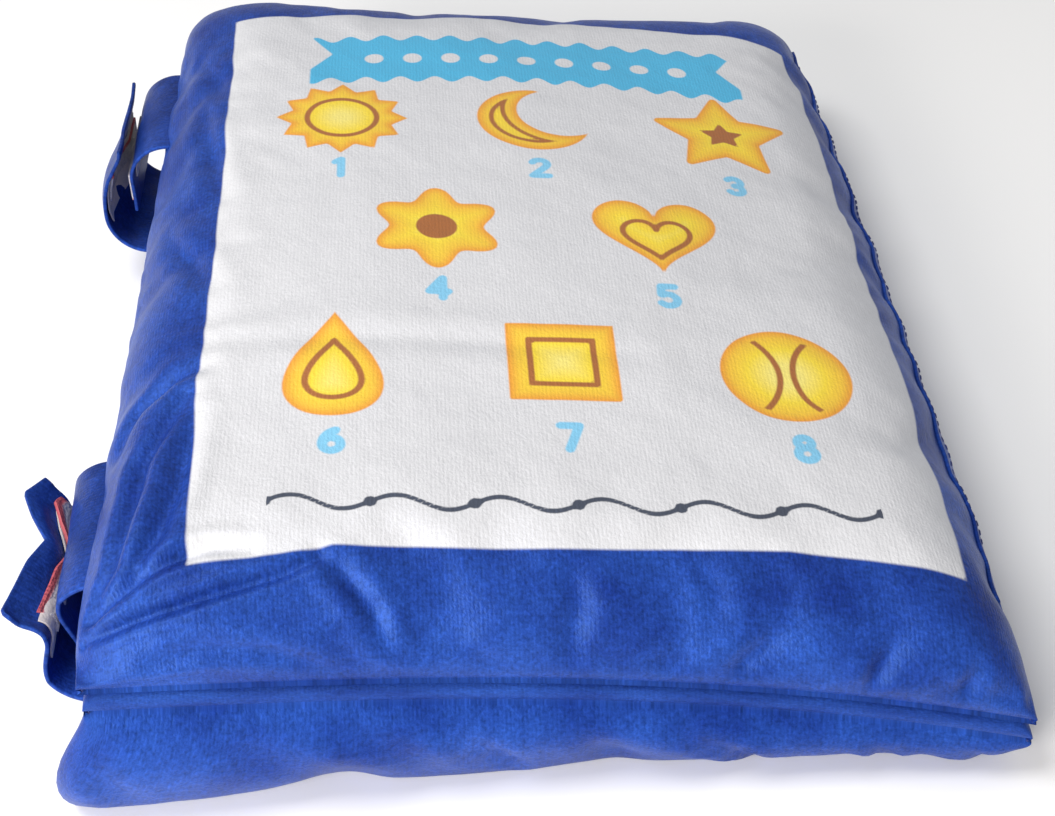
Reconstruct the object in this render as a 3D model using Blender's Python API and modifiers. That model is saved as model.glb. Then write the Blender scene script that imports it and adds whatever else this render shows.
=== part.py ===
"""Cushion book: two padded velour covers folded at a spine and held shut by two straps.

Metres, +Z up. The book lies shut on its front cover, fore-edge at -X and spine at +X,
with the back cover's printed side up. The origin is on the table, under the middle of
the box round the whole book. Each cover is two cloth panels joined by a seam round a
filling, and each strap is an outer tab on the front cover that presses onto an inner
tab on the back cover.
"""

import math

import bmesh
import bpy

MM = 0.001

# The whole book
BOOK_WIDTH = 235 * MM  # fore-edge seam to the fold line at the spine
BOOK_DEPTH = 318 * MM  # the back cover along the spine, before its corners are rounded
FORE_EDGE_HEIGHT = 72 * MM
SPINE_HEIGHT = 51 * MM
FORE_EDGE_PARTING = 42 * MM  # height of the plane where the two covers meet
SPINE_PARTING = 26 * MM  # its height at the spine, which is the fold line's
FRONT_OVERHANG = 5 * MM  # the lower cover is squashed wider than the upper one
COVER_CLEARANCE = 0.4 * MM

# The covers' cushion form
CROWN = 3.5 * MM
END_DRAW_IN = 7 * MM  # how far the near and far sides curve in between the corners
FORE_EDGE_DRAW_IN = 1 * MM
CORNER_ROUNDING = 3 * MM
FRONT_SEAM_DROP = 3.5 * MM  # the front cover's seam lies this far under the parting
BACK_SEAM_RISE = 3.5 * MM  # the back cover's seam lies this far over it
FRONT_SHOULDER = 12 * MM
BACK_FORE_EDGE_SHOULDER = 36 * MM
BACK_SPINE_SHOULDER = 28 * MM
BACK_END_SHOULDER = 34 * MM
INNER_SHOULDER = 14 * MM
SHOULDER_STEPS = 3
CELLS_ACROSS = 3
CELLS_ALONG = 4
DRAW_IN_POWER = 2
CORNER_POWERS = (4, 8)

# Cloth, filling and thread
VELOUR = 1.2 * MM
LINING = 0.6 * MM
SEAM_GROOVE = 3.1 * MM  # between the rims of a cover's two panels
SEAM_THREAD_RADIUS = 0.4 * MM
SEAM_THREAD_INSET = 0.55 * MM
SEAM_THREAD_POINTS = 14  # on each side of a cover
FILLING_CLEARANCE = 0.5 * MM
FILLING_RIM = 1.0 * MM
PIECE_CLEARANCE = 0.3 * MM

# Spine bands, one on each cover, meeting at the fold line
BAND_THICKNESS = 1.0 * MM
BAND_HEIGHT = 8 * MM
BAND_SETBACK = 0.7 * MM  # from the fold line's plane to the bands' outer faces
BAND_END_MARGIN = 14 * MM
FOLD_CLEARANCE = 0.5 * MM  # between the two bands' edges
STITCH_RADIUS = 0.2 * MM
STITCH_CLEARANCE = 0.15 * MM
STITCH_END_MARGIN = 4 * MM

# Straps
STRAP_WIDTH = 46 * MM
STRAP_INSET = 38.5 * MM  # from each end of the fore-edge to the strap beside it
STRAP_SHIFT = 6 * MM  # how far both straps sit towards the near end
STRAP_REACH = 17 * MM  # fore-edge seam to the closed strap's outer face
OUTER_ROOT_HEIGHT = 16 * MM
OUTER_ROOT_CLEARANCE = 0.95 * MM  # half the velour and a gap, so that the root can turn
OUTER_TAB_RADIUS = 12 * MM
OUTER_TAB_TOP = 52 * MM
FLARE_LENGTH = 9 * MM
FLARE_RADIUS = 8 * MM
FLARE_ANGLE = {"far": 0.0, "near": math.radians(38)}  # the near tab's end stands out
INNER_TAB_RISE_ANGLE = math.radians(40)
INNER_TAB_END_HEIGHT = 26 * MM
LINING_MARGIN = 2 * MM
TAPE_THICKNESS = 1.0 * MM
TAPE_WIDTH = 38 * MM
TAPE_HEIGHT = 11 * MM
TAPE_FOOT_HEIGHT = 28 * MM
TAPE_BEVEL = 0.2 * MM
TAB_ARC_STEPS = 8
TAB_LINE_STEPS = 1
TAB_CELLS_ALONG = 2

# Where things lie: the box round the whole book is centred on x = 0
STITCH_SETBACK = BAND_SETBACK - STITCH_CLEARANCE - 2 * STITCH_RADIUS
FLARE_REACH = FLARE_RADIUS * (1 - math.cos(FLARE_ANGLE["near"])) + (
    FLARE_LENGTH * math.sin(FLARE_ANGLE["near"])
)
TIP_CORNER = VELOUR / 2 * (1 - math.cos(FLARE_ANGLE["near"]))
WHOLE_WIDTH = STRAP_REACH + FLARE_REACH - TIP_CORNER + BOOK_WIDTH - STITCH_SETBACK
FOLD_X = WHOLE_WIDTH / 2 + STITCH_SETBACK
FORE_EDGE_X = FOLD_X - BOOK_WIDTH
SPINE_RIM_X = FOLD_X - BAND_SETBACK - BAND_THICKNESS - PIECE_CLEARANCE
HALF_DEPTH = BOOK_DEPTH / 2
MIDDLE_X = (FORE_EDGE_X + SPINE_RIM_X) / 2
HALF_WIDTH = (SPINE_RIM_X - FORE_EDGE_X) / 2
STRAP_PLACE = HALF_DEPTH - STRAP_INSET - STRAP_WIDTH / 2
STRAP_CENTRE = {"far": STRAP_PLACE - STRAP_SHIFT, "near": -STRAP_PLACE - STRAP_SHIFT}

VELOUR_BLUE = (0.022, 0.075, 0.52)
VELOUR_NAVY = (0.012, 0.030, 0.27)
LINING_WHITE = (0.78, 0.77, 0.74)
FILLING_WHITE = (0.85, 0.85, 0.83)
TAPE_GREY = (0.55, 0.56, 0.57)


def clear_scene():
    for obj in list(bpy.data.objects):
        bpy.data.objects.remove(obj, do_unlink=True)


def new_collection(name):
    made = bpy.data.collections.new(name)
    bpy.context.scene.collection.children.link(made)
    return made


def new_material(name, colour, roughness):
    material = bpy.data.materials.new(name)
    material.use_nodes = True
    shader = material.node_tree.nodes["Principled BSDF"]
    shader.inputs["Base Color"].default_value = (*colour, 1)
    shader.inputs["Roughness"].default_value = roughness
    shader.inputs["Metallic"].default_value = 0
    return material


def add_object(name, data, collection, material, hinge=None):
    """An object for this mesh or curve, which moves with its hinge's empty."""
    obj = bpy.data.objects.new(name, data)
    collection.objects.link(obj)
    data.materials.append(material)
    if hinge:
        obj.parent = hinge
        obj.location = -hinge.location
    return obj


def add_hinge(name, x, z, collection):
    empty = bpy.data.objects.new(name, None)
    empty.location = (x, 0, z)
    collection.objects.link(empty)
    return empty


# Heights that follow the book's wedge
def wedge(x, fore_edge, spine):
    """The height at x of a plane that runs from the fore-edge to the spine."""
    return spine + (fore_edge - spine) * (FOLD_X - x) / BOOK_WIDTH


def parting(x):
    return wedge(x, FORE_EDGE_PARTING, SPINE_PARTING)


def front_seam(x):
    return parting(x) - FRONT_SEAM_DROP


def back_seam(x):
    return parting(x) + BACK_SEAM_RISE


def back_top(x):
    return wedge(x, FORE_EDGE_HEIGHT, SPINE_HEIGHT)


# The cushion form
def lift(distance, radius):
    """0 at the seam and 1 past the shoulder, along a quarter of an ellipse."""
    rest = max(0, 1 - distance / radius)
    return math.sqrt(1 - rest * rest)


def stations(low, high, low_radius, high_radius, cells):
    """Places from low to high, close together where the shoulders curve."""
    turns = [math.pi / 2 * step / SHOULDER_STEPS for step in range(SHOULDER_STEPS)]
    rise = [low + low_radius * (1 - math.cos(turn)) for turn in turns]
    fall = [high - high_radius * (1 - math.cos(turn)) for turn in turns]
    first, last = low + low_radius, high - high_radius
    level = [first + (last - first) * cell / cells for cell in range(cells + 1)]
    return rise + level + fall[::-1]


def drawn_in(x, y):
    """(x, y) moved from the square outline to the cushion's, with its sides drawn in."""
    across = (x - MIDDLE_X) / HALF_WIDTH
    along = y / HALF_DEPTH
    soft, sharp = CORNER_POWERS
    x += FORE_EDGE_DRAW_IN * (1 - abs(along) ** DRAW_IN_POWER) * (1 - across) / 2
    x -= CORNER_ROUNDING * math.copysign(abs(across) ** soft * abs(along) ** sharp, across)
    y -= END_DRAW_IN * along * (1 - abs(across) ** DRAW_IN_POWER)
    y -= CORNER_ROUNDING * math.copysign(abs(along) ** soft * abs(across) ** sharp, along)
    return x, y


class Panel:
    """One curved face of a cover: its outline, its shoulders and its height over x and y."""

    def __init__(self, rim, level, radii, inset=0, crown=0, overhang=0):
        self.rim, self.level, self.crown = rim, level, crown
        self.low_x, self.high_x = FORE_EDGE_X + inset, SPINE_RIM_X - inset
        self.half = HALF_DEPTH + overhang - inset
        self.fore_edge, self.spine, self.end = [radius - inset for radius in radii]

    def across(self):
        return stations(self.low_x, self.high_x, self.fore_edge, self.spine, CELLS_ACROSS)

    def along(self):
        return stations(-self.half, self.half, self.end, self.end, CELLS_ALONG)

    def point(self, x, y):
        share = lift(x - self.low_x, self.fore_edge) * lift(self.high_x - x, self.spine)
        share *= lift(self.half - abs(y), self.end)
        bulge = (1 - ((x - MIDDLE_X) / HALF_WIDTH) ** 2) * (1 - (y / HALF_DEPTH) ** 2)
        z = self.rim(x) + (self.level(x) - self.rim(x)) * share + self.crown * bulge
        return (*drawn_in(x, y), z)


def grid_mesh(name, across, along, place, faces_down=False):
    """A sheet of cells between these stations, each point put where place says."""
    mesh = bmesh.new()
    columns, rows = len(across) - 1, len(along) - 1
    bmesh.ops.create_grid(mesh, x_segments=columns, y_segments=rows, size=1)
    for vertex in mesh.verts:
        column = round((vertex.co.x + 1) / 2 * columns)
        row = round((vertex.co.y + 1) / 2 * rows)
        vertex.co = place(across[column], along[row])
    if faces_down:
        bmesh.ops.reverse_faces(mesh, faces=mesh.faces)
    data = bpy.data.meshes.new(name)
    mesh.to_mesh(data)
    mesh.free()
    data.shade_smooth()
    return data


def smooth_once(obj):
    subdivision = obj.modifiers.new("Soft", "SUBSURF")
    subdivision.levels = subdivision.render_levels = 1
    subdivision.boundary_smooth = "PRESERVE_CORNERS"


def thicken(obj, thickness, offset):
    solid = obj.modifiers.new("Cloth", "SOLIDIFY")
    solid.thickness = thickness
    solid.offset = offset


def add_panel(name, panel, collection, material, hinge=None, faces_down=False):
    data = grid_mesh(name, panel.across(), panel.along(), panel.point, faces_down)
    obj = add_object(name, data, collection, material, hinge)
    smooth_once(obj)
    thicken(obj, VELOUR, -1)
    return obj


def add_filling(name, upper, lower, collection, material, hinge=None):
    """A closed pad: the upper and lower faces, bridged round the rim."""
    mesh = bmesh.new()
    for panel, faces_down in ((upper, False), (lower, True)):
        # both faces use the outer panel's stations, so that their rims match
        half = grid_mesh(name, upper.across(), upper.along(), panel.point, faces_down)
        mesh.from_mesh(half)
        bpy.data.meshes.remove(half)
    rim = [edge for edge in mesh.edges if edge.is_boundary]
    bmesh.ops.bridge_loops(mesh, edges=rim)
    bmesh.ops.recalc_face_normals(mesh, faces=mesh.faces)
    data = bpy.data.meshes.new(name)
    mesh.to_mesh(data)
    mesh.free()
    data.shade_smooth()
    obj = add_object(name, data, collection, material, hinge)
    smooth_once(obj)
    return obj


def add_cord(name, points, radius, closed, collection, material, hinge=None):
    curve = bpy.data.curves.new(name, "CURVE")
    curve.dimensions = "3D"
    curve.bevel_depth = radius
    curve.bevel_resolution = 1
    curve.use_fill_caps = not closed
    spline = curve.splines.new("POLY")
    spline.points.add(len(points) - 1)
    for point, place in zip(spline.points, points):
        point.co = (*place, 1)
    spline.use_cyclic_u = closed
    return add_object(name, curve, collection, material, hinge)


def add_box(name, low, high, bevel, collection, material, hinge=None):
    mesh = bmesh.new()
    bmesh.ops.create_cube(mesh, size=1)
    for vertex in mesh.verts:
        vertex.co = [a + (b - a) * (c + 0.5) for a, b, c in zip(low, high, vertex.co)]
    data = bpy.data.meshes.new(name)
    mesh.to_mesh(data)
    mesh.free()
    obj = add_object(name, data, collection, material, hinge)
    if bevel:
        rounding = obj.modifiers.new("Edge", "BEVEL")
        rounding.width = bevel
        rounding.segments = 1
    return obj


# Covers
def seam_path(height, overhang):
    """The seam thread's route round a cover, just inside its outline."""
    low_x, high_x = FORE_EDGE_X + SEAM_THREAD_INSET, SPINE_RIM_X - SEAM_THREAD_INSET
    half = HALF_DEPTH + overhang - SEAM_THREAD_INSET
    corners = [(low_x, -half), (high_x, -half), (high_x, half), (low_x, half)]
    route = []
    for (x0, y0), (x1, y1) in zip(corners, corners[1:] + corners[:1]):
        for step in range(SEAM_THREAD_POINTS):
            # cosine spacing puts more points near the corners
            share = (1 - math.cos(math.pi * step / SEAM_THREAD_POINTS)) / 2
            x, y = x0 + (x1 - x0) * share, y0 + (y1 - y0) * share
            route.append((*drawn_in(x, y), height(x)))
    return route


def cover_panels(side):
    """A cover's seam route, its outer and inner panels and the two faces of its filling."""
    groove, gap = SEAM_GROOVE / 2, COVER_CLEARANCE / 2
    inset = VELOUR + FILLING_CLEARANCE
    rim = FILLING_RIM / 2
    inner_radii = (INNER_SHOULDER,) * 3
    if side == "front":
        seam, radii, crown, overhang = front_seam, (FRONT_SHOULDER,) * 3, 0, FRONT_OVERHANG
        outer_level, inner_level, up = (lambda x: 0), (lambda x: parting(x) - gap), -1
    else:
        seam, crown, overhang = back_seam, CROWN, 0
        radii = (BACK_FORE_EDGE_SHOULDER, BACK_SPINE_SHOULDER, BACK_END_SHOULDER)
        outer_level, inner_level, up = back_top, (lambda x: parting(x) + gap), 1
    outer = Panel(lambda x: seam(x) + up * groove, outer_level, radii, 0, crown, overhang)
    # the inner panel is nearly flat, so its cloth hangs from its face towards the seam
    inner = Panel(
        lambda x: seam(x) - up * (groove + VELOUR), inner_level, inner_radii, 0, 0, overhang
    )
    fill_outer = Panel(
        lambda x: seam(x) + up * rim,
        lambda x: outer_level(x) - up * inset,
        radii,
        inset,
        crown,
        overhang,
    )
    fill_inner = Panel(
        lambda x: seam(x) - up * rim,
        lambda x: inner_level(x) + up * inset,
        inner_radii,
        inset,
        0,
        overhang,
    )
    return seam_path(seam, overhang), outer, inner, fill_outer, fill_inner


def add_cover(side, collection, hinge=None):
    thread_route, outer, inner, fill_outer, fill_inner = cover_panels(side)
    opens_up = side == "front"
    velour = new_material(f"{side}_velour", VELOUR_BLUE, 0.8)
    inside = new_material(f"{side}_inner_velour", VELOUR_BLUE, 0.8)
    padding = new_material(f"{side}_filling", FILLING_WHITE, 0.95)
    thread = new_material(f"{side}_seam_thread", VELOUR_NAVY, 0.7)
    add_panel(f"{side}_outer_panel", outer, collection, velour, hinge, faces_down=opens_up)
    add_panel(f"{side}_inner_panel", inner, collection, inside, hinge, faces_down=not opens_up)
    add_filling(f"{side}_filling", fill_outer, fill_inner, collection, padding, hinge)
    add_cord(
        f"{side}_seam_thread", thread_route, SEAM_THREAD_RADIUS, True, collection, thread, hinge
    )
    add_spine_band(side, collection, hinge)


def add_spine_band(side, collection, hinge):
    """A cover's half of the spine, on its own side of the fold line, with its stitching."""
    up = 1 if side == "back" else -1
    face_x = FOLD_X - BAND_SETBACK
    near_edge = SPINE_PARTING + up * FOLD_CLEARANCE / 2
    far_edge = near_edge + up * BAND_HEIGHT
    low_z, high_z = min(near_edge, far_edge), max(near_edge, far_edge)
    half = HALF_DEPTH - BAND_END_MARGIN
    cloth = new_material(f"{side}_spine_band", VELOUR_BLUE, 0.8)
    add_box(
        f"{side}_spine_band",
        (face_x - BAND_THICKNESS, -half, low_z),
        (face_x, half, high_z),
        0,
        collection,
        cloth,
        hinge,
    )
    stitch_x = face_x + STITCH_CLEARANCE + STITCH_RADIUS
    stitch_z = (low_z + high_z) / 2
    end = half - STITCH_END_MARGIN
    thread = new_material(f"{side}_spine_stitching", VELOUR_NAVY, 0.7)
    route = [(stitch_x, -end, stitch_z), (stitch_x, end, stitch_z)]
    add_cord(f"{side}_spine_stitching", route, STITCH_RADIUS, False, collection, thread, hinge)


# Straps
def trace(x, z, heading, moves):
    """(x, z, heading) along a path in the XZ plane. A move is (length, 0) for a straight
    run or (radius, turn) for an arc, whose turn is positive to the left."""
    route = [(x, z, heading)]
    for size, turn in moves:
        steps = TAB_ARC_STEPS if turn else TAB_LINE_STEPS
        x, z, heading = route[-1]
        if turn:
            side = math.copysign(1, turn)
            centre_x = x - side * size * math.sin(heading)
            centre_z = z + side * size * math.cos(heading)
        for step in range(1, steps + 1):
            share = step / steps
            if turn:
                now = heading + turn * share
                px = centre_x + side * size * math.sin(now)
                pz = centre_z - side * size * math.cos(now)
            else:
                now = heading
                px = x + size * share * math.cos(heading)
                pz = z + size * share * math.sin(heading)
            route.append((px, pz, now))
    return route


def beside(route, distance):
    """The route moved this far to its left."""
    return [
        (x - distance * math.sin(heading), z + distance * math.cos(heading), heading)
        for x, z, heading in route
    ]


def add_strip(name, route, thickness, middle, width, collection, material, hinge=None):
    """Cloth along a route in the XZ plane, as wide along Y as width."""
    along = [
        middle + width * (row / TAB_CELLS_ALONG - 0.5) for row in range(TAB_CELLS_ALONG + 1)
    ]
    stops = list(range(len(route)))
    data = grid_mesh(name, stops, along, lambda stop, y: (route[stop][0], y, route[stop][1]))
    obj = add_object(name, data, collection, material, hinge)
    thicken(obj, thickness, 0)
    return obj


def layer_faces():
    """The x of each layer's middle in a closed strap, from its outer face inwards."""
    layers = ("outer_tab", VELOUR), ("outer_lining", LINING), ("hook", TAPE_THICKNESS)
    layers += ("loop", TAPE_THICKNESS), ("inner_tab", VELOUR), ("inner_lining", LINING)
    places, face = {}, FORE_EDGE_X - STRAP_REACH
    for name, thickness in layers:
        places[name] = face + thickness / 2
        face += thickness + PIECE_CLEARANCE
    return places


def outer_root():
    """Where the outer tab is sewn to the front cover's wall: its hinge line."""
    seam = front_seam(FORE_EDGE_X) - SEAM_GROOVE / 2
    share = 1 - OUTER_ROOT_HEIGHT / seam
    inward = FRONT_SHOULDER * (1 - math.sqrt(1 - share * share))
    wall_x, _ = drawn_in(FORE_EDGE_X, STRAP_CENTRE["far"])
    return wall_x + inward - OUTER_ROOT_CLEARANCE, OUTER_ROOT_HEIGHT


def outer_tab_route(place):
    root_x, root_z = outer_root()
    reach = root_x - layer_faces()["outer_tab"]
    flare = FLARE_ANGLE[place]
    end_rise = FLARE_RADIUS * math.sin(flare) + FLARE_LENGTH * math.cos(flare)
    straight = OUTER_TAB_TOP - root_z - OUTER_TAB_RADIUS - end_rise
    moves = [(reach - OUTER_TAB_RADIUS, 0), (OUTER_TAB_RADIUS, -math.pi / 2), (straight, 0)]
    if flare:
        moves.append((FLARE_RADIUS, flare))
    moves.append((FLARE_LENGTH, 0))
    return trace(root_x, root_z, math.pi, moves)


def inner_tab_route():
    wall_x, _ = drawn_in(FORE_EDGE_X, STRAP_CENTRE["far"])
    root_x = wall_x - PIECE_CLEARANCE - VELOUR / 2
    root_z = back_seam(FORE_EDGE_X)
    rise = INNER_TAB_RISE_ANGLE
    radius = (root_x - layer_faces()["inner_tab"]) / (1 + math.sin(rise))
    crest = root_z + radius * (1 - math.cos(rise))
    drop = crest - radius - INNER_TAB_END_HEIGHT
    return trace(root_x, root_z, math.pi - rise, [(radius, rise + math.pi / 2), (drop, 0)])


def shortened(route, margin):
    """The route with its free end this much shorter."""
    x, z, heading = route[-1]
    return route[:-1] + [
        (x - margin * math.cos(heading), z - margin * math.sin(heading), heading)
    ]


def add_tape(name, x, middle, collection, material, hinge):
    half = TAPE_WIDTH / 2
    low = (x - TAPE_THICKNESS / 2, middle - half, TAPE_FOOT_HEIGHT)
    high = (x + TAPE_THICKNESS / 2, middle + half, TAPE_FOOT_HEIGHT + TAPE_HEIGHT)
    return add_box(name, low, high, TAPE_BEVEL, collection, material, hinge)


def add_strap(place, middle, collection, back_hinge):
    """One closure: the outer tab on its own hinge, the inner tab on the back cover."""
    layers = layer_faces()
    root_x, root_z = outer_root()
    outer_hinge = add_hinge(f"{place}_outer_tab_hinge", root_x, root_z, collection)
    lining_step = VELOUR / 2 + PIECE_CLEARANCE + LINING / 2
    for part, route, side, tape, hinge in (
        ("outer", outer_tab_route(place), -1, "hook", outer_hinge),
        ("inner", inner_tab_route(), 1, "loop", back_hinge),
    ):
        velour = new_material(f"{place}_{part}_tab", VELOUR_BLUE, 0.8)
        white = new_material(f"{place}_{part}_tab_lining", LINING_WHITE, 0.9)
        grey = new_material(f"{place}_{tape}_tape", TAPE_GREY, 0.7)
        lining = shortened(beside(route, side * lining_step), LINING_MARGIN)
        name = f"{place}_{part}_tab"
        add_strip(name, route, VELOUR, middle, STRAP_WIDTH, collection, velour, hinge)
        width = STRAP_WIDTH - LINING_MARGIN
        add_strip(f"{name}_lining", lining, LINING, middle, width, collection, white, hinge)
        add_tape(f"{place}_{tape}_tape", layers[tape], middle, collection, grey, hinge)


def main():
    clear_scene()
    book = new_collection("cushion_book")
    fold = add_hinge("back_cover_hinge", FOLD_X, SPINE_PARTING, book)
    add_cover("front", book)
    add_cover("back", book, fold)
    add_strap("far", STRAP_CENTRE["far"], book, fold)
    add_strap("near", STRAP_CENTRE["near"], book, fold)


main()
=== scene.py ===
# %% [markdown]
# # A padded cloth book
# The toy is two stuffed velour covers, sewn together along a spine and shut by two
# strap tabs. It is soft, so almost everything here is one idea repeated: lay out a grid
# with numpy, bend it into a cushion or a strap by a formula, and hand it to a mesh.
# The measured model comes first. It fixes where each piece lies and how it moves.

# %% The measured model
import math

import bpy
import numpy as np
from mathutils import Matrix


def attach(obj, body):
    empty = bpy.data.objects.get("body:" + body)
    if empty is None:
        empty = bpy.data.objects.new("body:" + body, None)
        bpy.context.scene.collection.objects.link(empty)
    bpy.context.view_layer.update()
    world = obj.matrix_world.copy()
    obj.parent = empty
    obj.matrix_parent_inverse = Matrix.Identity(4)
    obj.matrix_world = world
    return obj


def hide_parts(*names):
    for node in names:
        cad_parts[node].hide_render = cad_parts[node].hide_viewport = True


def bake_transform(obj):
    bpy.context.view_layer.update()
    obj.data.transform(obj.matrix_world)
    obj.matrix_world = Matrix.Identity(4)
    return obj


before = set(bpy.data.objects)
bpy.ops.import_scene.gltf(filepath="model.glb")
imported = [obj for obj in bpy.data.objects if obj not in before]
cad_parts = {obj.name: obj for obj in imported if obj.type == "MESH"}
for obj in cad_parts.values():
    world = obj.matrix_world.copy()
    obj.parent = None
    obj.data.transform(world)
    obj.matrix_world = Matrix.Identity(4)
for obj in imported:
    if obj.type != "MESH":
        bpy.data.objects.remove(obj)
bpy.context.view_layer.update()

MM = 0.001

# %% [markdown]
# ## The book's measures
# All lengths below are in millimetres. The two covers meet on a sloping plane, the
# parting, because the lower cover is thicker at the fore-edge than at the spine.
# A cover's seam runs close to that plane, and its outer face swells away from it.

# %% Measures
FOLD_X, FORE_EDGE_X, RIM_X = 129.63, -105.37, 127.63
MIDDLE_X, HALF_WIDTH, HALF_DEPTH = 11.13, 116.5, 159.0
FORE_EDGE_HEIGHT, SPINE_HEIGHT = 72.0, 51.0
FORE_EDGE_PARTING, SPINE_PARTING = 42.0, 26.0
OVERHANG = 1.0  # how much longer the front cover is at each end
BACK_SEAM_RISE, FRONT_SEAM_DROP, GROOVE = 1.5, 5.5, 1.0
CROWN = 5.4


def wedge(x, fore_edge, spine):
    """Height of a sloping plane: spine + (fore_edge - spine) times how far x is from the fold."""
    return spine + (fore_edge - spine) * (FOLD_X - x) / (FOLD_X - FORE_EDGE_X)


def parting(x):
    return wedge(x, FORE_EDGE_PARTING, SPINE_PARTING)


def shares(x, y):
    """A place on the cover: -1 to 1 from fore-edge to spine, and -1 to 1 from near to far."""
    return (x - MIDDLE_X) / HALF_WIDTH, y / HALF_DEPTH


print("parting height at the fore-edge and the spine:", parting(FORE_EDGE_X), parting(FOLD_X))

# %% [markdown]
# ## Small tools
# Colours are written as the hex values a picture editor shows, and one function turns
# them into the linear values that shading needs. The others add shader nodes and wire them.

# %% Colour and node helpers


def linear(code):
    """sRGB hex to linear: c / 12.92 when small, else ((c + 0.055) / 1.055) ** 2.4."""
    parts = [int(code[i : i + 2], 16) / 255 for i in (1, 3, 5)]
    return [c / 12.92 if c <= 0.04045 else ((c + 0.055) / 1.055) ** 2.4 for c in parts] + [1]


def wire(tree, node, values):
    """Numbers and colours go into the node's sockets, and other nodes' sockets are linked."""
    for name, value in values.items():
        socket = node.inputs[name]
        if isinstance(value, bpy.types.NodeSocket):
            tree.links.new(value, socket)
        else:
            socket.default_value = value
    return node


def add(tree, kind, values=None, **settings):
    """One shader node: settings are its properties, values its sockets' numbers or links."""
    node = tree.nodes.new(kind)
    for name, value in settings.items():
        setattr(node, name, value)
    return wire(tree, node, values or {})


def mix(tree, factor, under, ink):
    """One colour laid over another by the factor."""
    values = {"Factor": factor, 6: under, 7: ink}
    return add(tree, "ShaderNodeMix", values, data_type="RGBA").outputs[2]


def add_bump(tree, shader, height, strength, distance):
    """Bumps the shader by a height; the distance is in metres."""
    values = {"Height": height, "Strength": strength, "Distance": distance}
    wire(tree, shader, {"Normal": add(tree, "ShaderNodeBump", values).outputs[0]})


def new_material(name):
    """A material and its tree, with only the Principled shader and the output in it."""
    material = bpy.data.materials.new(name)
    material.use_nodes = True
    return material, material.node_tree, material.node_tree.nodes["Principled BSDF"]


print("mid blue is", [round(c, 3) for c in linear("#3a5cc0")])

# %% [markdown]
# ## Meshes from grids
# A grid of points with n rows and m columns becomes a sheet of quads. The faces are
# worked out with array arithmetic, since the four corners of a quad are a point and
# its neighbours one row and one column on.

# %% Grid to mesh


def quads(n, m, first=0):
    """Corner numbers of a sheet's quads: k, k + m, k + m + 1, k + 1 for each grid point k."""
    k = np.arange(n - 1)[:, None] * m + np.arange(m - 1) + first
    return np.stack([k, k + m, k + m + 1, k + 1], -1).reshape(-1, 4)


def new_piece(name, points, faces, uv=None, slots=None):
    """A smooth mesh object from points in millimetres. uv is one pair a point, in metres."""
    mesh = bpy.data.meshes.new(name)
    points, faces = np.asarray(points, float).reshape(-1, 3), np.asarray(faces)
    mesh.vertices.add(len(points))
    mesh.vertices.foreach_set("co", (points * MM).astype(np.float32).ravel())
    mesh.loops.add(faces.size)
    mesh.loops.foreach_set("vertex_index", faces.astype(np.int32).ravel())
    mesh.polygons.add(len(faces))
    loop_starts = np.arange(0, faces.size, faces.shape[1], dtype=np.int32)
    mesh.polygons.foreach_set("loop_start", loop_starts)
    mesh.update(calc_edges=True)
    if uv is not None:
        corners = np.asarray(uv).reshape(-1, 2)[faces.ravel()].astype(np.float32)
        mesh.uv_layers.new(name="cloth").data.foreach_set("uv", corners.ravel())
    if slots is not None:
        mesh.polygons.foreach_set("material_index", np.asarray(slots, dtype=np.int32))
    mesh.polygons.foreach_set("use_smooth", np.ones(len(faces), bool))
    mesh.validate()
    made = bpy.data.objects.new(name, mesh)
    bpy.context.scene.collection.objects.link(made)
    return made


def settled(piece):
    """The piece with its modifiers worked into its mesh."""
    bpy.context.view_layer.update()
    graph = bpy.context.evaluated_depsgraph_get()
    mesh = bpy.data.meshes.new_from_object(piece.evaluated_get(graph))
    piece.modifiers.clear()
    piece.data = mesh
    return piece


def unit(vectors):
    return vectors / np.maximum(np.linalg.norm(vectors, axis=-1, keepdims=True), 1e-9)


def lengths_along(line):
    """How far along a line of points each point lies."""
    steps = np.linalg.norm(np.diff(line, axis=0), axis=-1)
    return np.concatenate([[0], steps.cumsum()])


def normals_of(grid):
    """Unit normals of a grid of points: the cross product of its slopes both ways."""
    return unit(np.cross(np.gradient(grid, axis=0), np.gradient(grid, axis=1)))


# %% Smooth random relief
LATTICE = 64  # the random grid repeats after this many cells


def noise(u, v, size, seed, octaves=1):
    """Random heights every size millimetres, joined smoothly; octaves halve size and height."""
    total = np.zeros(np.broadcast(u, v).shape)
    for octave in range(octaves):
        lattice = np.random.default_rng(seed + octave).uniform(-1, 1, (LATTICE, LATTICE))
        x, y = u / size * 2**octave + 500, v / size * 2**octave + 500
        i, j = np.floor(x).astype(int), np.floor(y).astype(int)
        a, b = x - i, y - j
        a, b = a * a * (3 - 2 * a), b * b * (3 - 2 * b)
        corner = lambda p, q: lattice[(i + p) % LATTICE, (j + q) % LATTICE]
        top = corner(0, 0) * (1 - a) + corner(1, 0) * a
        low = corner(0, 1) * (1 - a) + corner(1, 1) * a
        total += (top * (1 - b) + low * b) / 2**octave
    return total


def distance_to_line(x, y, line):
    """(distance, share of the way along) from each point to a polyline, segment by segment."""
    line = np.asarray(line, float)
    lengths = np.hypot(*np.diff(line, axis=0).T)
    best, share, done = np.full(np.broadcast(x, y).shape, 1e9), 0, 0
    for (ax, ay), (bx, by), length in zip(line, line[1:], lengths):
        t = np.clip(((x - ax) * (bx - ax) + (y - ay) * (by - ay)) / length**2, 0, 1)
        d = np.hypot(x - ax - t * (bx - ax), y - ay - t * (by - ay))
        share = np.where(d < best, (done + t * length) / lengths.sum(), share)
        best = np.minimum(best, d)
        done += length
    return best, share


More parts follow.
